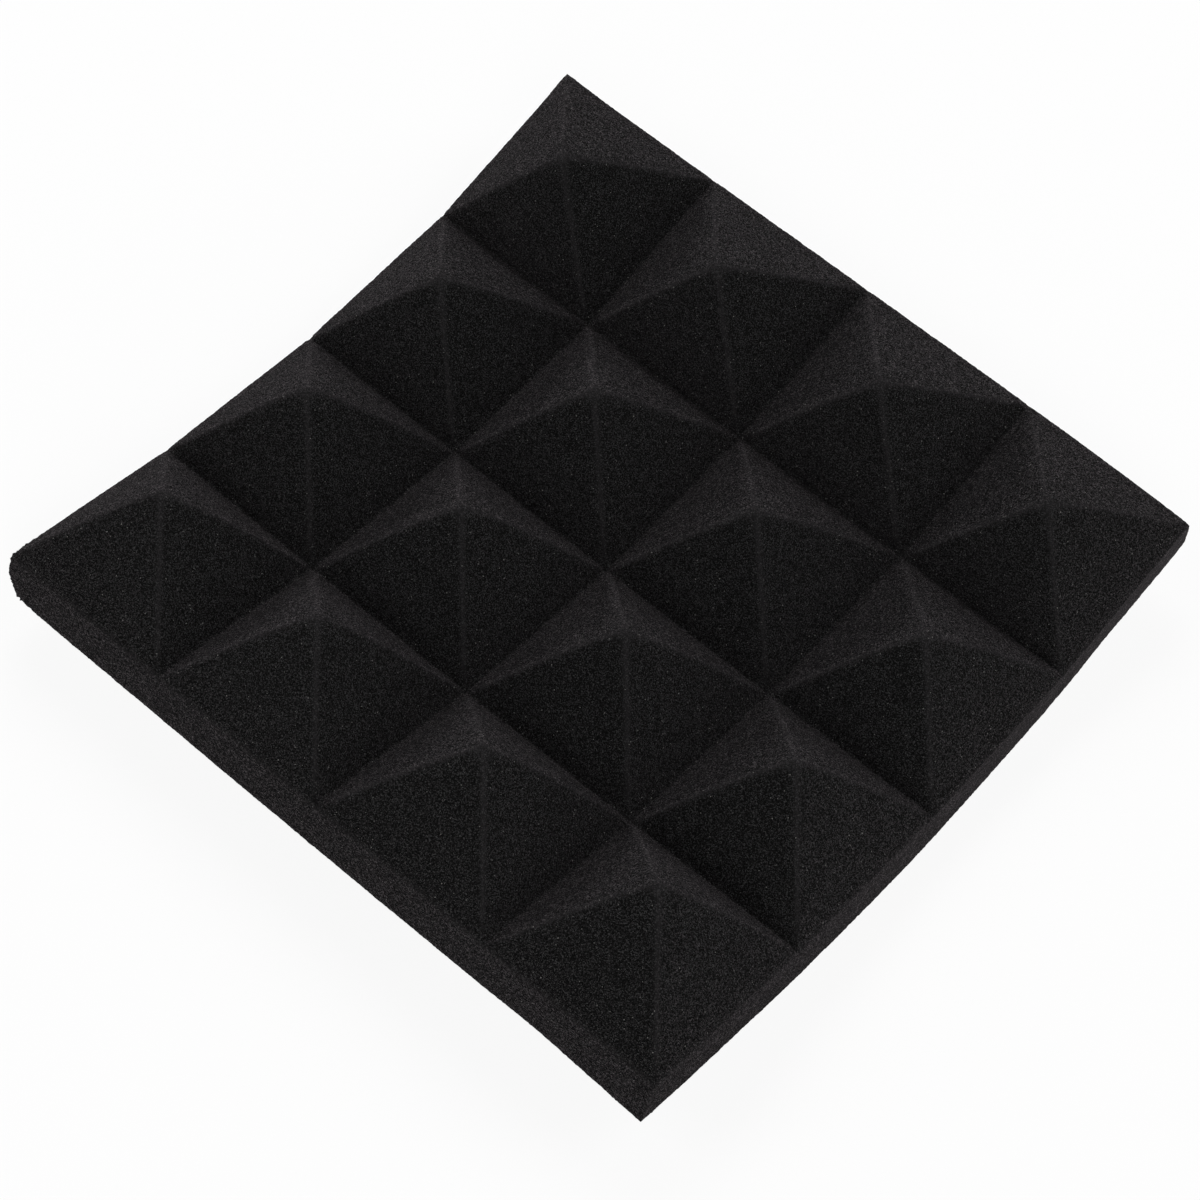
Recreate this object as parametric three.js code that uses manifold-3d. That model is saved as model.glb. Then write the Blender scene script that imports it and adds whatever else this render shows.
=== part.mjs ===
// Acoustic foam panel: one square tile of open-cell polyurethane foam. Its front is cut into rows of
// four-sided pyramids that stand on a solid base, its back is plain, and the whole tile is curled:
// each row of pyramids stays stiff, and the tile turns at the grooves between the rows.
// X runs along the trough of the curl, Y across it, and Z from the back towards the pyramids.
// The origin is the middle of the flat strip on the back, on which the panel stands.
import * as THREE from 'three';
import Module from 'manifold-3d';

// Driving dimensions in millimetres, measured on the tile before it curls
const tileLength = 300; // along X, from cut edge to cut edge
const tileWidth = 300; // along Y, from cut edge to cut edge
const baseThickness = 20.5; // from the back to the bottom of the grooves
const pyramidHeight = 37; // from the bottom of the grooves to the point at which the faces aim
const faceBulge = 1.6; // how far a face stands over a straight slope, halfway up
const tipBlend = 2.4; // half the width over which opposite faces round into a tip
const ridgeBlend = 1.5; // height over which neighbouring faces round into a ridge
const grooveBlend = 0.8; // half the width of the rounded bottom of a groove
const foldWidth = 8; // width of the strip in which the tile bends, at the bottom of a groove
const backFoldWidth = 28; // width of the same strip on the back, where the bend spreads out
const restDepth = 0.5; // depth of the flat strip along the lowest line of the back

// Counts, and the curl in degrees
const pyramidsAlong = 4;
const pyramidsAcross = 4;
const foldAngle = 8.9; // turn at a groove, taken as the mean of all of them
const foldGrowth = 2; // how much more each groove turns than the one before it, along Y
const twistAngle = -3.3; // turn of the tile about X, from one end of the trough to the other

// Lines of points on a pyramid, as shares of the way from its tip to its grooves
const crownShares = [0.04, 0.11, 0.25, 0.56];

const pitchAlong = tileLength / pyramidsAlong;
const pitchAcross = tileWidth / pyramidsAcross;
const foldShare = 1 - foldWidth / pitchAcross; // where the bent strip starts, beside a groove
const backFoldShare = 1 - backFoldWidth / pitchAcross; // where it starts on the back
const lipShare = 1 - (4 * grooveBlend) / pitchAcross; // where the rounded groove starts
const ringShares = [...crownShares, foldShare, lipShare, 1];
const stationShares = [-1, -lipShare, -backFoldShare, 0, backFoldShare, lipShare, 1];

// The relief on the front

// Share of the way up a face, from how far a point lies from the middle of its pyramid.
// It is rounded at the tip and at the bottom of the groove.
function climb(offset, halfPitch) {
  const straight = 1 - Math.hypot(offset, tipBlend) / halfPitch;
  return Math.hypot(straight, grooveBlend / halfPitch);
}

const faceHeight = (share) => pyramidHeight * share + 4 * faceBulge * share * (1 - share);

// Height over the bottom of the grooves: the lower of the two slopes, rounded where they meet in a ridge
function reliefHeight(offsetAlong, offsetAcross) {
  const slopeAlong = faceHeight(climb(offsetAlong, pitchAlong / 2));
  const slopeAcross = faceHeight(climb(offsetAcross, pitchAcross / 2));
  return (slopeAlong + slopeAcross - Math.hypot(slopeAlong - slopeAcross, ridgeBlend)) / 2;
}

// The curl

const radians = THREE.MathUtils.degToRad;
const sheetSteps = 96; // steps of the sum along the curled sheet

// Turn that the tile has gathered between its first edge and a line across it
function turnUpTo(across, bendWidth) {
  let turn = 0;
  for (let groove = 1; groove < pyramidsAcross; groove++) {
    const line = groove * pitchAcross - tileWidth / 2;
    const done = THREE.MathUtils.clamp((across - line) / bendWidth + 0.5, 0, 1);
    turn += done * radians(foldAngle + foldGrowth * (groove - pyramidsAcross / 2));
  }
  return turn;
}

// A point of the flat tile, given by its place and its height over the back, put on the curled tile.
// The middle of the base keeps its length. What lies over or under it stays square to it.
// The bend is tight in a groove and spreads out towards the back.
function curl(along, across, height) {
  const bendWidth = THREE.MathUtils.lerp(backFoldWidth, foldWidth, Math.min(height / baseThickness, 1));
  const levelTurn = turnUpTo(0, bendWidth); // the middle of the tile lies level
  const slopeAt = (place) => turnUpTo(place, bendWidth) - levelTurn;
  let y = 0;
  let z = 0;
  for (let step = 0; step < sheetSteps; step++) {
    const slope = slopeAt((across * (step + 0.5)) / sheetSteps);
    y += (across / sheetSteps) * Math.cos(slope);
    z += (across / sheetSteps) * Math.sin(slope);
  }
  const offset = height - baseThickness / 2;
  y -= offset * Math.sin(slopeAt(across));
  z += offset * Math.cos(slopeAt(across));
  const twist = radians(twistAngle) * (along / tileLength);
  return [along, y * Math.cos(twist) - z * Math.sin(twist), y * Math.sin(twist) + z * Math.cos(twist)];
}

// The tile as one closed mesh

const positions = [];
const triangles = [];
const pointNumbers = new Map();

// Number of the point at a place on the flat tile. A place that is asked for again keeps its number.
function point(along, across, height) {
  const key = `${along} ${across} ${height}`;
  if (!pointNumbers.has(key)) {
    pointNumbers.set(key, pointNumbers.size);
    positions.push(...curl(along, across, height));
  }
  return pointNumbers.get(key);
}

function quad(a, b, c, d) {
  triangles.push(a, b, c, a, c, d);
}

// Place along one direction of the tile, from a pyramid's number and the share of its half pitch
const placeAlong = (column, share) => (column + 0.5 + share / 2) * pitchAlong - tileLength / 2;
const placeAcross = (row, share) => (row + 0.5 + share / 2) * pitchAcross - tileWidth / 2;

// A point on the front of a pyramid
function frontPoint(column, row, shareAlong, shareAcross) {
  const relief = reliefHeight((shareAlong * pitchAlong) / 2, (shareAcross * pitchAcross) / 2);
  return point(placeAlong(column, shareAlong), placeAcross(row, shareAcross), baseThickness + relief);
}

// One pyramid: square rings from the tip out to the grooves, on four sides that a quarter turn repeats
function addPyramid(column, row) {
  const tip = frontPoint(column, row, 0, 0);
  const quarterTurns = [
    (out, side) => [out, side],
    (out, side) => [-side, out],
    (out, side) => [-out, -side],
    (out, side) => [side, -out],
  ];
  for (const turned of quarterTurns) {
    const rings = ringShares.map((ring) =>
      stationShares.map((station) => frontPoint(column, row, ...turned(ring, ring * station)))
    );
    for (let s = 0; s + 1 < stationShares.length; s++) {
      triangles.push(tip, rings[0][s], rings[0][s + 1]);
      for (let r = 0; r + 1 < ringShares.length; r++) {
        quad(rings[r][s], rings[r + 1][s], rings[r + 1][s + 1], rings[r][s + 1]);
      }
    }
  }
}

// Every line of points across the tile, as a pyramid's number and a share, each groove's line once
function tileLines(count) {
  const lines = [[0, -1]];
  for (let pyramid = 0; pyramid < count; pyramid++) {
    for (const share of stationShares.slice(1)) {
      lines.push([pyramid, share]);
    }
  }
  return lines;
}

const linesAlong = tileLines(pyramidsAlong);
const linesAcross = tileLines(pyramidsAcross);

function backPoint(lineAlong, lineAcross) {
  return point(placeAlong(...lineAlong), placeAcross(...lineAcross), 0);
}

function edgePoint([column, shareAlong], [row, shareAcross]) {
  return frontPoint(column, row, shareAlong, shareAcross);
}

// The plain back, and the four side walls that the knife leaves
function addBack() {
  for (let i = 0; i + 1 < linesAlong.length; i++) {
    for (let j = 0; j + 1 < linesAcross.length; j++) {
      const [x0, x1] = [linesAlong[i], linesAlong[i + 1]];
      const [y0, y1] = [linesAcross[j], linesAcross[j + 1]];
      quad(backPoint(x0, y0), backPoint(x0, y1), backPoint(x1, y1), backPoint(x1, y0));
    }
  }
}

// One wall, as the corners of the tile's edge in order, counter-clockwise seen from above
function addWall(corners) {
  for (let k = 0; k + 1 < corners.length; k++) {
    const [from, to] = [corners[k], corners[k + 1]];
    quad(backPoint(...from), backPoint(...to), edgePoint(...to), edgePoint(...from));
  }
}

for (let column = 0; column < pyramidsAlong; column++) {
  for (let row = 0; row < pyramidsAcross; row++) {
    addPyramid(column, row);
  }
}
addBack();
addWall(linesAlong.map((line) => [line, linesAcross[0]]));
addWall(linesAcross.map((line) => [linesAlong.at(-1), line]));
addWall(linesAlong.map((line) => [line, linesAcross.at(-1)]).reverse());
addWall(linesAcross.map((line) => [linesAlong[0], line]).reverse());

// The flat strip on which the curled tile stands

const wasm = await Module();
wasm.setup();

function solidOf(vertices, indices) {
  const mesh = { numProp: 3, vertProperties: new Float32Array(vertices), triVerts: new Uint32Array(indices) };
  return new wasm.Manifold(new wasm.Mesh(mesh));
}

// A block under the tile, whose top lies the strip's depth over the lowest point of the back
function floorBlock() {
  let lowest = Infinity;
  for (let k = 2; k < positions.length; k += 3) {
    lowest = Math.min(lowest, positions[k]);
  }
  const box = new THREE.BoxGeometry(2 * tileLength, 2 * tileWidth, baseThickness);
  box.translate(0, 0, lowest + restDepth - baseThickness / 2);
  const corners = [...box.getAttribute('position').array];
  const seen = new Map();
  const merged = [];
  const indices = [...box.getIndex().array].map((k) => {
    const corner = corners.slice(3 * k, 3 * k + 3);
    const key = corner.join(' ');
    if (!seen.has(key)) {
      seen.set(key, seen.size);
      merged.push(...corner);
    }
    return seen.get(key);
  });
  return solidOf(merged, indices);
}

const standing = solidOf(positions, triangles).subtract(floorBlock()).getMesh();

const geometry = new THREE.BufferGeometry();
geometry.setAttribute('position', new THREE.BufferAttribute(new Float32Array(standing.vertProperties), 3));
geometry.setIndex([...standing.triVerts]);
geometry.computeBoundingBox();
const middle = geometry.boundingBox.getCenter(new THREE.Vector3());
geometry.translate(-middle.x, -middle.y, -geometry.boundingBox.min.z);
geometry.computeVertexNormals();

const charcoalFoam = new THREE.MeshStandardMaterial({
  name: 'charcoal_foam',
  color: new THREE.Color('#1c1b1c'),
  roughness: 0.97,
  metalness: 0,
});

const foamPanel = new THREE.Mesh(geometry, charcoalFoam);
foamPanel.name = 'foam_panel';

const group = new THREE.Group();
group.add(foamPanel);

export default group;
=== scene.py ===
import math

import bpy
import numpy as np
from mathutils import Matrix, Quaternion, Vector


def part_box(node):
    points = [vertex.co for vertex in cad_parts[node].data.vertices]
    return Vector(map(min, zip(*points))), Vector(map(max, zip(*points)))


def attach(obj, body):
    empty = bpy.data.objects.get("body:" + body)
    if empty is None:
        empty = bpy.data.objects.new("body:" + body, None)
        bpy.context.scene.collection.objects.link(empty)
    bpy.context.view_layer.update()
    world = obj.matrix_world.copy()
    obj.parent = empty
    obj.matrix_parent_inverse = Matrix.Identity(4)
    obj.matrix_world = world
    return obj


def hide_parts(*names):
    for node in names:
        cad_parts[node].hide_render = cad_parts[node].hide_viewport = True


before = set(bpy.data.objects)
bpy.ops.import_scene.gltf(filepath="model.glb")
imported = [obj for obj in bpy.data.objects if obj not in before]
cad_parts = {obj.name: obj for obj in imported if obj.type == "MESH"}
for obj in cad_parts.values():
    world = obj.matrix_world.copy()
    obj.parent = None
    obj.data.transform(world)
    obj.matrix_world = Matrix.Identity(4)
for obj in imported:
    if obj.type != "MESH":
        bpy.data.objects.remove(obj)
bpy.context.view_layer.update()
print("frame loaded:", sorted(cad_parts))

mm = 0.001
tolerance = 0.01 * mm  # places closer than this count as the same

# The tile as it is cut, before it curls, and then its curl
tile = {
    "side": 300 * mm,
    "rows": 4,
    "base": 20.5 * mm,  # back to groove
    "pyramidHeight": 37 * mm,  # groove to the point at which the faces aim
    "faceBulge": 1.6 * mm,  # fullness of a face, halfway up
    "tipBlend": 2.4 * mm,  # half width of a rounded tip
    "ridgeBlend": 1.5 * mm,  # height over which two faces round into a ridge
    "grooveBlend": 0.8 * mm,  # half width of a groove's rounded bottom
    "foldWidth": 8 * mm,  # of the strip that bends, at the groove
    "backFoldWidth": 28 * mm,  # and on the back
    "foldAngle": 8.9,  # degrees, mean turn at a groove
    "foldGrowth": 2.0,  # degrees more at each next groove
    "twistAngle": -3.3,  # degrees, from one end of the trough to the other
    "restDepth": 0.5 * mm,  # the foam is pressed flat this deep where it rests
    "facesPerPyramid": 100,  # of the mesh, along a pyramid's side
    "wallCuts": 25,  # rows of mesh points between the two edges of a wall
    "curlSteps": 96,  # of the sum along the curled tile
}

# Where the cuts of this tile stray from the plain shape
stray = {
    "lineShifts": (0, 0, 0, 1.0 * mm, -0.6 * mm),  # along X: an edge, three grooves, an edge
    "grooveDrop": 3.3 * mm,  # how much deeper the grooves are in the middle of the tile
    "tipLean": (-2.0 * mm, 1.0 * mm),  # of the tips along X, in the rows at -Y and at +Y
    "footLean": (0.3 * mm, -0.3 * mm),  # of the walls at +X and -Y: their foot stands out
    "footWander": (  # the same feet out of line, by the place along the wall
        {
            -150 * mm: -0.5 * mm,
            -130 * mm: 0,
            -28 * mm: 0.6 * mm,
            66 * mm: -0.6 * mm,
            103 * mm: -1.1 * mm,
            150 * mm: 0,
        },
        {
            -150 * mm: 0.3 * mm,
            0: 0.2 * mm,
            70 * mm: -0.3 * mm,
            103 * mm: -0.9 * mm,
            130 * mm: 0,
            150 * mm: 0.6 * mm,
        },
    ),
    "footPower": 8,  # how near to its wall the lean stays
    "roundCorner": (-1, -1),
    "cornerRadius": 2 * mm,
    "cornerBulge": 0.9 * mm,  # of the rounded corner's wall, halfway up
    "cornerPulls": {  # towards the middle, by corner: at the front, at the back, how local
        (1, 1): (0.8 * mm, 1.6 * mm, 3),
        (-1, 1): (-1 * mm, -0.4 * mm, 10),
        (-1, -1): (0, 1.2 * mm, 24),
    },
    "pullRise": 1.3,  # how soon up the wall the pull of the front is reached
    "thinCorner": (1, 1),
    "cornerThinning": (2.0 * mm, 2.5 * mm),  # off the front and off the back
    "thinPower": 5,  # how near to its corner the thinning stays
    "rimWidth": 2.2 * mm,  # of the softened rim along the cut edges
    "rimDrop": 0.8 * mm,
}

# Open cells, as real relief on the mesh, and the rough edges that the knife leaves
relief = {
    "lumpSize": 9 * mm,
    "lumpDepth": 0.26 * mm,
    "cellSize": 0.9 * mm,
    "cellDepth": 0.26 * mm,
    "edgeWidth": 1.4 * mm,  # of the rough strip along a cut edge
    "edgeSize": 0.9 * mm,  # of what stands out there
    "edgeDepth": 2.0 * mm,
    "edgeShare": 0.06,  # of that depth, away from the fuzzy corner
    "edgeSteps": 12,  # in which the depth fades
    "fuzzyCorner": (-1, -1),
    "fuzzPeak": 1.3,  # strength at that corner, cut off at 1
    "fuzzFall": 12,  # of the strength, per half side away from the corner
}

# Where light is painted into the foam's colour as a paler tone: a painted highlight on the ridges
# and cut edges, and painted light on the wall at +X towards +Y; 1 on a ridge
paintedLight = {
    "ridgeFade": 6 * mm,  # height over the groove from which a ridge's painted highlight fades out
    # painted highlight along the cut edges
    "cutEdge": 0.7,
    "wallFrom": -110 * mm,  # painted light: from here on towards +Y, the wall at +X is painted paler, as if lit more
    "wallEnd": 2.3,
}

foamLook = {
    "poreColor": (0.0030, 0.0030, 0.0030, 1),
    "foamColor": (0.0462, 0.0457, 0.0458, 1),  # of the lightest cells
    "brightPower": 5.6,  # how few of the cells are light
    # painted highlight: the paler colour towards which ridges, cut edges and the wall at +X are
    # mixed
    "highlightColor": (0.0300, 0.0280, 0.0290, 1),
    "highlightShare": 0.30,  # of that painted highlight colour on a ridge
    # painted glints: a few cells coloured as bright spots of reflected light
    "glintColor": (0.185, 0.180, 0.173, 1),
    "glintShare": 0.0014,  # of the cells
    "glintFull": 0.7,  # share of the glints that have their full strength
    "cellSize": 0.27 * mm,
    "cellBump": 0.20 * mm,
    "clumpSize": 1.3 * mm,
    "clumpDetail": 2,
    "clumpBump": 0.22 * mm,
    "strutSize": 0.40 * mm,
    "strutPower": 5,  # how few of the struts shine
    "paintedSheenColor": (0.1540, 0.1345, 0.1430),  # painted sheen that they add to the base colour at a low angle
    "facingPower": 2,  # how low that angle is
    "roughness": 1.0,
    "sheen": 0.0100,
    "sheenRoughness": 0.6,
    "sheenTint": (1.0, 0.90, 0.95, 1),
}


def deselectAll():
    if bpy.context.object and bpy.context.object.mode != "OBJECT":
        bpy.ops.object.mode_set(mode="OBJECT")
    bpy.ops.object.select_all(action="DESELECT")


def activate(obj):
    deselectAll()
    obj.select_set(True)
    bpy.context.view_layer.objects.active = obj


def getPoints(obj):
    flat = np.empty(len(obj.data.vertices) * 3)
    obj.data.vertices.foreach_get("co", flat)
    return flat.reshape(-1, 3)


def setPoints(obj, places):
    obj.data.vertices.foreach_set("co", places.ravel())
    obj.data.update()


def applyModifiers(obj):
    activate(obj)
    for name in [m.name for m in obj.modifiers]:
        bpy.ops.object.modifier_apply(modifier=name)


# The block before it is shaped: poked squares for the pyramids, a plain back, and the walls
def addFlatBlock():
    deselectAll()
    bpy.ops.mesh.primitive_grid_add(
        x_subdivisions=tile["rows"],
        y_subdivisions=tile["rows"],
        size=tile["side"],
        location=(0, 0, tile["base"]),
    )
    front = bpy.context.object
    bpy.ops.object.mode_set(mode="EDIT")
    bpy.ops.mesh.select_all(action="SELECT")
    bpy.ops.mesh.poke(offset=tile["pyramidHeight"])
    bpy.ops.mesh.subdivide(number_cuts=tile["facesPerPyramid"] - 1)
    bpy.ops.object.mode_set(mode="OBJECT")

    deselectAll()
    across = tile["rows"] * tile["facesPerPyramid"]
    bpy.ops.mesh.primitive_grid_add(x_subdivisions=across, y_subdivisions=across, size=tile["side"])
    bpy.ops.object.mode_set(mode="EDIT")
    bpy.ops.mesh.select_all(action="SELECT")
    bpy.ops.mesh.flip_normals()
    bpy.ops.object.mode_set(mode="OBJECT")

    front.select_set(True)
    bpy.context.view_layer.objects.active = front
    bpy.ops.object.join()
    front.name = "foam_tile"
    front.data.name = "foam_tile"
    bpy.ops.object.transform_apply(location=True, rotation=True, scale=True)
    bpy.ops.object.mode_set(mode="EDIT")
    bpy.ops.mesh.select_mode(type="EDGE")
    bpy.ops.mesh.select_all(action="DESELECT")
    bpy.ops.mesh.select_non_manifold(
        use_wire=False,
        use_multi_face=False,
        use_non_contiguous=False,
        use_verts=False,
    )
    bpy.ops.mesh.bridge_edge_loops(number_cuts=tile["wallCuts"])
    bpy.ops.mesh.select_all(action="SELECT")
    bpy.ops.mesh.normals_make_consistent(inside=False)
    bpy.ops.object.mode_set(mode="OBJECT")
    return front


# For places on the flat tile: the height over the bottom of the outer grooves, the share of the way
# up a pyramid, and how near a ridge is (1 on it, 0 away from it), to place the painted ridge
# highlight
def pyramidRelief(places):
    pitch = tile["side"] / tile["rows"]

    def slope(place):
        offset = (place + tile["side"] / 2) % pitch - pitch / 2
        straight = 1 - np.hypot(offset, tile["tipBlend"]) / (pitch / 2)
        share = np.hypot(straight, tile["grooveBlend"] / (pitch / 2))
        return tile["pyramidHeight"] * share + 4 * tile["faceBulge"] * share * (1 - share)

    along, across = slope(places[:, 0]), slope(places[:, 1])
    height = (along + across - np.hypot(along - across, tile["ridgeBlend"])) / 2
    ridge = np.exp(-((along - across) / tile["ridgeBlend"]) ** 2)
    ridge *= np.clip(height / paintedLight["ridgeFade"], 0, 1)
    upPyramid = height / height.max()
    fromMiddle = places / (tile["side"] / 2)
    height -= stray["grooveDrop"] * (1 - fromMiddle ** 2).prod(1) * (1 - upPyramid)
    return height, upPyramid, ridge


# The turn gathered between the first edge and a line across the tile
def turnUpTo(across, bendWidth):
    turn = np.zeros_like(across)
    for groove in range(1, tile["rows"]):
        line = groove * tile["side"] / tile["rows"] - tile["side"] / 2
        angle = math.radians(tile["foldAngle"] + tile["foldGrowth"] * (groove - tile["rows"] / 2))
        turn += np.clip((across - line) / bendWidth + 0.5, 0, 1) * angle
    return turn


# Puts places of the flat tile on the curled one. The bend is tight in a groove and wide on the
# back, and the middle of the tile lies level.
def curl(places):
    x, y, height = places.T
    share = np.minimum(height / tile["base"], 1)
    bendWidth = tile["backFoldWidth"] + (tile["foldWidth"] - tile["backFoldWidth"]) * share
    level = turnUpTo(np.zeros_like(y), bendWidth)
    outY = np.zeros_like(y)
    outZ = np.zeros_like(y)
    for step in range(tile["curlSteps"]):
        slope = turnUpTo(y * (step + 0.5) / tile["curlSteps"], bendWidth) - level
        outY += y / tile["curlSteps"] * np.cos(slope)
        outZ += y / tile["curlSteps"] * np.sin(slope)
    slope = turnUpTo(y, bendWidth) - level
    offset = height - tile["base"] / 2
    outY -= offset * np.sin(slope)
    outZ += offset * np.cos(slope)
    twist = math.radians(tile["twistAngle"]) * x / tile["side"]
    twistedY = outY * np.cos(twist) - outZ * np.sin(twist)
    twistedZ = outY * np.sin(twist) + outZ * np.cos(twist)
    return np.stack([x, twistedY, twistedZ], 1)


# A map laid out on the flat block: the front, the back and the four walls side by side
def addMap(obj, places):
    plan = {  # left, bottom and size of each part
        "front": (0.01, 0.01, 0.62),
        "back": (0.65, 0.01, 0.34),
        "walls": (0.01, 0.66, 0.62),
        "wallGap": 0.02,
    }
    side, base = tile["side"], tile["base"]
    layer = obj.data.uv_layers.new(name="OFBake")
    corners = np.empty(len(obj.data.loops), int)
    obj.data.loops.foreach_get("vertex_index", corners)
    count = np.empty(len(obj.data.polygons), int)
    obj.data.polygons.foreach_get("loop_total", count)
    face = np.repeat(np.arange(len(count)), count)
    at = places[corners]
    middle = np.stack([np.bincount(face, at[:, k]) for k in range(3)], 1) / count[:, None]
    onEdge = np.isclose(np.abs(middle[:, :2]), side / 2, atol=tolerance)
    wallY = np.where(middle[:, 1] < 0, 0, 1)
    wallX = np.where(middle[:, 0] < 0, 2, 3)
    wall = np.where(onEdge[:, 1], wallY, wallX)
    isWall = onEdge.any(1)
    isBack = ~isWall & (middle[:, 2] < base / 2)
    share = at[:, :2] / side + 0.5
    u0, v0, size = plan["front"]
    uv = np.stack([u0 + size * share[:, 0], v0 + size * share[:, 1]], 1)
    u0, v0, size = plan["back"]
    backUv = np.stack([u0 + size * (1 - share[:, 0]), v0 + size * share[:, 1]], 1)
    u0, v0, size = plan["walls"]
    alongWall = np.where(wall[face] < 2, share[:, 0], share[:, 1])
    strip = size * base / side + plan["wallGap"]
    wallV = v0 + strip * wall[face] + size * at[:, 2] / side
    wallUv = np.stack([u0 + size * alongWall, wallV], 1)
    uv = np.where(isBack[face][:, None], backUv, uv)
    uv = np.where(isWall[face][:, None], wallUv, uv)
    layer.data.foreach_set("uv", uv.ravel())


# The softened rim and the thin corner, with the relief: heights over the back
def cutHeights(flat, share, height):
    half = tile["side"] / 2
    toSide = (half - np.abs(flat[:, :2])).min(1)
    drop = stray["rimDrop"] * np.clip(1 - toSide / stray["rimWidth"], 0, 1) ** 2
    toCorner = np.clip(flat[:, :2] * stray["thinCorner"] / half, 0, 1)
    thin = (toCorner ** stray["thinPower"]).prod(1)
    offFront, offBack = (amount * thin + drop for amount in stray["cornerThinning"])
    return share * (tile["base"] + height - offFront) + (1 - share) * offBack


# Cut lines that stray, walls and tips that lean, corners that are pulled in or rounded:
# moves within the plane of the flat tile
def strayCuts(places, share, upPyramid):
    half = tile["side"] / 2
    x, y = places[:, 0], places[:, 1]
    moved = places.copy()
    lines = np.linspace(-half, half, tile["rows"] + 1)
    moved[:, 0] += np.interp(x, lines, stray["lineShifts"])

    wanderX, wanderY = (
        np.interp(place, list(line), list(line.values()))
        for place, line in zip((y, x), stray["footWander"])
    )
    leanX, leanY = stray["footLean"]
    power = stray["footPower"]
    moved[:, 0] += (leanX + wanderX) * (1 - share) * np.clip(x / half, 0, 1) ** power
    moved[:, 1] += (leanY - wanderY) * (1 - share) * np.clip(-y / half, 0, 1) ** power

    signs, radius = stray["roundCorner"], stray["cornerRadius"]
    inside = np.clip(1 - (half - places[:, :2] * signs) / radius, 0, 1)
    for k in (0, 1):
        rounding = np.sqrt(1 - inside[:, 1 - k] ** 2 / 2) - 1
        moved[:, k] += signs[k] * radius * inside[:, k] * rounding

    for signs, (front, back, nearness) in stray["cornerPulls"].items():
        near = (np.clip(places[:, :2] * signs / half, 0, 1) ** nearness).prod(1)
        bulge = stray["cornerBulge"] * 4 * share * (1 - share) * (signs == stray["roundCorner"])
        pull = back + (front - back) * np.clip(share * stray["pullRise"], 0, 1) - bulge
        moved[:, :2] -= (pull * near)[:, None] * signs

    outerTip = half - tile["side"] / tile["rows"] / 2
    moved[:, 0] += np.interp(y, (-outerTip, outerTip), stray["tipLean"]) * upPyramid * share
    return moved


# How near each point of the flat block is to an edge that the knife cut, from 0 to 1
def cutEdges(flat, isFront):
    half = tile["side"] / 2
    toSides = half - np.abs(flat[:, :2])
    toFaces = np.where(isFront, 0, np.minimum(flat[:, 2], tile["base"] - flat[:, 2]))
    nearest = np.sort(np.stack([toSides[:, 0], toSides[:, 1], toFaces], 1), axis=1)
    return np.clip(1 - np.hypot(nearest[:, 0], nearest[:, 1]) / relief["edgeWidth"], 0, 1)


# Writes how much painted highlight and painted light each point takes, for the material to read
def markPaintedLight(obj, flat, isFront, ridge, nearEdge):
    half = tile["side"] / 2
    start = paintedLight["wallFrom"]
    # painted light: the wall at +X is painted paler towards +Y
    pale = paintedLight["wallEnd"] * np.clip((flat[:, 1] - start) / (half - start), 0, 1)
    pale *= flat[:, 0] > half - tolerance
    # painted highlight on the ridges of the front and along the cut edges
    pale = np.maximum(np.where(isFront, ridge, pale), paintedLight["cutEdge"] * nearEdge)
    attribute = obj.data.attributes.new("paintedLight", "FLOAT", "POINT")
    attribute.data.foreach_set("value", pale.astype(np.float32))


def addCloudRelief(obj, name, size, depth, group=""):
    texture = bpy.data.textures.new(name, "CLOUDS")
    texture.noise_scale = size
    displace = obj.modifiers.new(name, "DISPLACE")
    displace.texture = texture
    displace.texture_coords = "LOCAL"
    displace.strength = depth
    displace.mid_level = 0.5
    displace.vertex_group = group


# Lumps and cells all over, and frays along the cut edges, deepest at the fuzzy corner
def roughen(obj, flat, nearEdge):
    toCorner = np.hypot(*(flat[:, :2] / tile["side"] * 2 - relief["fuzzyCorner"]).T)
    strength = np.clip(relief["fuzzPeak"] - relief["fuzzFall"] * toCorner, 0, 1)
    fuzz = nearEdge * (relief["edgeShare"] + (1 - relief["edgeShare"]) * strength)
    group = obj.vertex_groups.new(name="cutEdge")
    steps = relief["edgeSteps"]
    for step in range(1, steps + 1):
        chosen = np.nonzero(np.round(fuzz * steps) == step)[0]
        group.add([int(k) for k in chosen], step / steps, "REPLACE")
    addCloudRelief(obj, "lumps", relief["lumpSize"], relief["lumpDepth"])
    addCloudRelief(obj, "cells", relief["cellSize"], relief["cellDepth"])
    addCloudRelief(obj, "cutEdges", relief["edgeSize"], relief["edgeDepth"], "cutEdge")
    applyModifiers(obj)


# Moves the tile to the place of the solid and presses it flat where it rests.
# The plain shape gives the move, so that stray cuts and cells don't shift the tile.
def seat(obj, plain):
    places = getPoints(obj)
    low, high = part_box("foam_panel")
    places[:, 1] += (low.y + high.y) / 2 - (plain[:, 1].min() + plain[:, 1].max()) / 2
    places[:, 2] -= plain[:, 2].min() + tile["restDepth"]
    places[:, 2] = np.maximum(places[:, 2], low.z)
    setPoints(obj, places)


def makeFoamTile():
    obj = addFlatBlock()
    flat = getPoints(obj)
    print("flat block:", len(flat), "points")
    addMap(obj, flat)

    height, upPyramid, ridge = pyramidRelief(flat[:, :2])
    share = np.clip(flat[:, 2] / tile["base"], 0, 1)  # of the way from the back to the front
    isFront = flat[:, 2] > tile["base"] - tolerance
    nearEdge = cutEdges(flat, isFront)
    places = flat.copy()
    places[:, 2] = cutHeights(flat, share, height)
    setPoints(obj, curl(strayCuts(places, share, upPyramid)))
    markPaintedLight(obj, flat, isFront, ridge, nearEdge)
    print("tile cut and curled")

    roughen(obj, flat, nearEdge)
    seat(obj, curl(places))
    activate(obj)
    bpy.ops.object.shade_smooth()
    return obj
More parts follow.
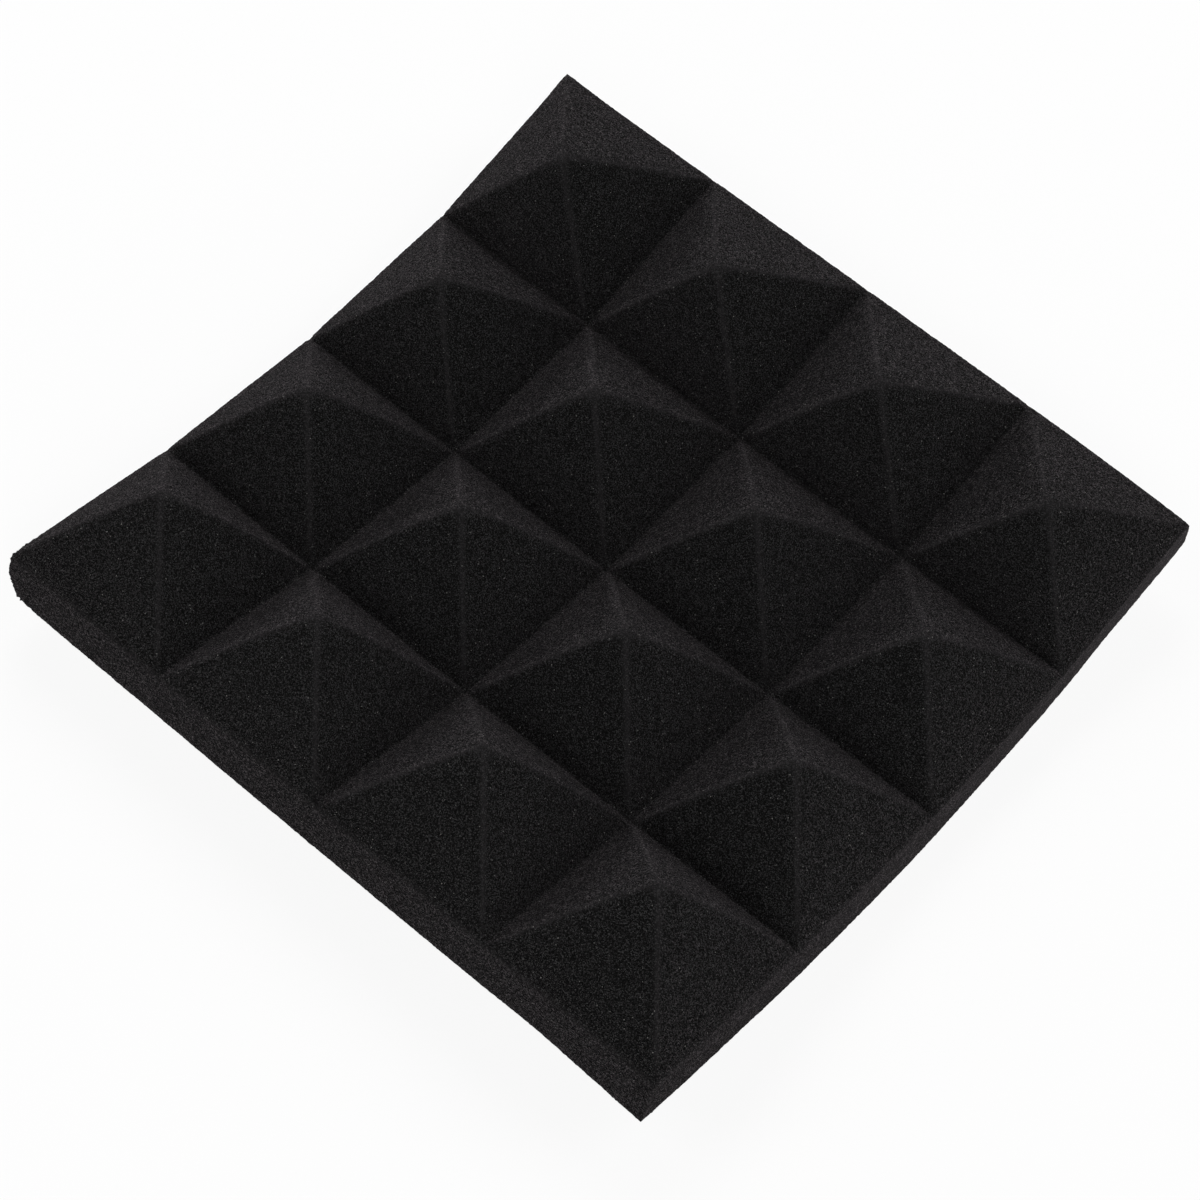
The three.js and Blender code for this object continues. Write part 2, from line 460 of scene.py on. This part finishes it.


# Charcoal foam: dark pores between lighter struts, with a few painted glints, a painted highlight
# on ridges and cut edges, and a painted sheen at a low angle
def foamMaterial():
    material = bpy.data.materials.new("charcoal_foam")
    material.use_nodes = True
    nodes, links = material.node_tree.nodes, material.node_tree.links
    nodes.clear()

    def node(kind, **settings):
        made = nodes.new(kind)
        for key, value in settings.items():
            setattr(made, key, value)
        return made

    # Puts a value into a socket, or links another node's output to it
    def put(value, socket):
        if isinstance(value, bpy.types.NodeSocket):
            links.new(value, socket)
        else:
            socket.default_value = value

    def calculate(operation, first, second):
        made = node("ShaderNodeMath", operation=operation)
        put(first, made.inputs[0])
        put(second, made.inputs[1])
        return made.outputs[0]

    def ramp(source, low, high):
        made = node("ShaderNodeMapRange")
        put(source, made.inputs["Value"])
        put(low, made.inputs["From Min"])
        put(high, made.inputs["From Max"])
        return made.outputs["Result"]

    # A mix node has sockets for every data type: 0, 6, 7 and output 2 are those for a colour
    def mix(amount, first, second):
        made = node("ShaderNodeMix", data_type="RGBA")
        for value, number in ((amount, 0), (first, 6), (second, 7)):
            put(value, made.inputs[number])
        return made.outputs[2]

    coords = node("ShaderNodeTexCoord").outputs["Object"]

    # Cells of a size: their distance from the middle, and two chances for each
    def voronoi(size):
        made = node("ShaderNodeTexVoronoi", feature="F1")
        put(1 / size, made.inputs["Scale"])
        put(coords, made.inputs["Vector"])
        chance = node("ShaderNodeSeparateColor")
        put(made.outputs["Color"], chance.inputs["Color"])
        return made.outputs["Distance"], chance.outputs["Red"], chance.outputs["Green"]

    fromMiddle, brightChance, glintChance = voronoi(foamLook["cellSize"])
    bright = calculate("POWER", brightChance, foamLook["brightPower"])
    glintShare = foamLook["glintShare"]
    glint = ramp(glintChance, 1 - glintShare, 1 - foamLook["glintFull"] * glintShare)

    clumps = node("ShaderNodeTexNoise")
    put(1 / foamLook["clumpSize"], clumps.inputs["Scale"])
    put(foamLook["clumpDetail"], clumps.inputs["Detail"])
    put(coords, clumps.inputs["Vector"])
    bumps = (
        (fromMiddle, foamLook["cellBump"]),
        (clumps.outputs["Fac"], foamLook["clumpBump"]),
    )
    normal = None
    for height, depth in bumps:
        bump = node("ShaderNodeBump")
        put(depth, bump.inputs["Distance"])
        put(1, bump.inputs["Strength"])
        put(height, bump.inputs["Height"])
        if normal:
            put(normal, bump.inputs["Normal"])
        normal = bump.outputs["Normal"]

    foam = mix(bright, foamLook["poreColor"], foamLook["foamColor"])
    # Painted highlight and painted light: ridges, cut edges and the end of the wall at +X mixed
    # towards a paler colour
    pale = node("ShaderNodeAttribute", attribute_name="paintedLight").outputs["Fac"]
    pale = calculate("MULTIPLY", pale, foamLook["highlightShare"])
    foam = mix(pale, foam, foamLook["highlightColor"])
    # painted glints in the base colour
    foam = mix(glint, foam, foamLook["glintColor"])

    # Painted sheen in the base colour: the struts close up into a lighter surface at a low angle
    angle = node("ShaderNodeLayerWeight")
    put(normal, angle.inputs["Normal"])
    facing = calculate("POWER", angle.outputs["Facing"], foamLook["facingPower"])
    struts = calculate("POWER", voronoi(foamLook["strutSize"])[1], foamLook["strutPower"])
    sheen = node("ShaderNodeVectorMath", operation="MULTIPLY_ADD")
    put(calculate("MULTIPLY", facing, struts), sheen.inputs[0])
    put(foamLook["paintedSheenColor"], sheen.inputs[1])
    put(foam, sheen.inputs[2])

    shader = node("ShaderNodeBsdfPrincipled")
    put(sheen.outputs[0], shader.inputs["Base Color"])
    put(normal, shader.inputs["Normal"])
    put(foamLook["roughness"], shader.inputs["Roughness"])
    put(0, shader.inputs["Specular IOR Level"])
    put(foamLook["sheen"], shader.inputs["Sheen Weight"])
    put(foamLook["sheenRoughness"], shader.inputs["Sheen Roughness"])
    put(foamLook["sheenTint"], shader.inputs["Sheen Tint"])
    out = node("ShaderNodeOutputMaterial")
    put(shader.outputs["BSDF"], out.inputs["Surface"])
    return material


# The stage: pale floor, soft lamps and the camera of the photograph. Angles are in degrees.
stage = {
    "floorSize": 8.0,
    "floorColor": (0.86, 0.86, 0.86, 1),
    "floorRoughness": 0.9,
    "floorGlow": 0.88,  # share of plain white that the camera sees on the floor
    "worldColor": (1, 1, 1, 1),
    "worldStrength": 0.03,  # of its light, while the camera sees it in full
    "aim": (13.7 * mm, -19.1 * mm, 35 * mm),
    "distance": 964.7 * mm,
    "azimuth": 39.44,
    "elevation": 58.34,
    "roll": 2.87,
    "lens": 82.70,  # millimetres, as the sensor
    "sensorWidth": 36,
    "lampDistance": 2.4,
    "rings": {  # elevation: width of the lamps, and their watts at each azimuth
        45: (1.4, {45: 20.5, 135: 16.8, 225: 23.2, 315: 15.5}),
        12: (1.4, {45: 12.7, 135: 9.3, 315: 3.4}),
        5: (0.4, {202.5: 9.5, 247.5: 9.8, 270: 13.5}),
    },
}


def lookFrom(azimuth, elevation, distance):
    turn, lift = math.radians(azimuth), math.radians(elevation)
    level = math.cos(lift)
    return distance * Vector((math.sin(turn) * level, -math.cos(turn) * level, math.sin(lift)))


def addCamera():
    aim = Vector(stage["aim"])
    place = aim + lookFrom(stage["azimuth"], stage["elevation"], stage["distance"])
    bpy.ops.object.camera_add(location=place)
    camera = bpy.context.object
    roll = Quaternion((0, 0, 1), math.radians(stage["roll"]))
    camera.rotation_mode = "QUATERNION"
    camera.rotation_quaternion = (aim - place).to_track_quat("-Z", "Y") @ roll
    camera.data.lens = stage["lens"]
    camera.data.sensor_width = stage["sensorWidth"]
    bpy.context.scene.camera = camera


def addLamps():
    aim = Vector(stage["aim"])
    for elevation, (width, lamps) in stage["rings"].items():
        for azimuth, watts in lamps.items():
            place = aim + lookFrom(azimuth, elevation, stage["lampDistance"])
            bpy.ops.object.light_add(type="AREA", location=place)
            lamp = bpy.context.object
            lamp.name = f"softbox_{elevation}_{azimuth}"
            lamp.rotation_euler = (aim - place).to_track_quat("-Z", "Y").to_euler()
            lamp.data.shape = "DISK"
            lamp.data.size = width
            lamp.data.energy = watts


# A pale floor that takes a faint shadow, and that the camera sees almost plain white
def addFloor():
    deselectAll()
    bpy.ops.mesh.primitive_plane_add(size=stage["floorSize"])
    floor = bpy.context.object
    floor.name = "floor"
    material = bpy.data.materials.new("paleFloor")
    material.use_nodes = True
    nodes, links = material.node_tree.nodes, material.node_tree.links
    shader = nodes["Principled BSDF"]
    shader.inputs["Base Color"].default_value = stage["floorColor"]
    shader.inputs["Roughness"].default_value = stage["floorRoughness"]
    glow = nodes.new("ShaderNodeEmission")
    path = nodes.new("ShaderNodeLightPath")
    amount = nodes.new("ShaderNodeMath")
    amount.operation = "MULTIPLY"
    amount.inputs[1].default_value = stage["floorGlow"]
    blend = nodes.new("ShaderNodeMixShader")
    links.new(path.outputs["Is Camera Ray"], amount.inputs[0])
    links.new(amount.outputs[0], blend.inputs[0])
    links.new(shader.outputs[0], blend.inputs[1])
    links.new(glow.outputs[0], blend.inputs[2])
    links.new(blend.outputs[0], nodes["Material Output"].inputs["Surface"])
    floor.data.materials.append(material)


# A white world to look at, which gives little light
def setWorld():
    world = bpy.data.worlds.new("studio")
    bpy.context.scene.world = world
    world.use_nodes = True
    nodes, links = world.node_tree.nodes, world.node_tree.links
    background = nodes["Background"]
    background.inputs["Color"].default_value = stage["worldColor"]
    path = nodes.new("ShaderNodeLightPath")
    seen = nodes.new("ShaderNodeMath")
    seen.operation = "MAXIMUM"
    links.new(path.outputs["Is Camera Ray"], seen.inputs[0])
    links.new(path.outputs["Is Glossy Ray"], seen.inputs[1])
    strength = nodes.new("ShaderNodeMapRange")
    strength.inputs["To Min"].default_value = stage["worldStrength"]
    strength.inputs["To Max"].default_value = 1
    links.new(seen.outputs[0], strength.inputs["Value"])
    links.new(strength.outputs["Result"], background.inputs["Strength"])


bpy.context.scene.view_settings.view_transform = "Standard"
foamTile = makeFoamTile()
foamTile.data.materials.append(foamMaterial())
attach(foamTile, "root")
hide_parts("foam_panel")
print("foam tile ready")

addFloor()
addLamps()
setWorld()
addCamera()
print("stage ready")
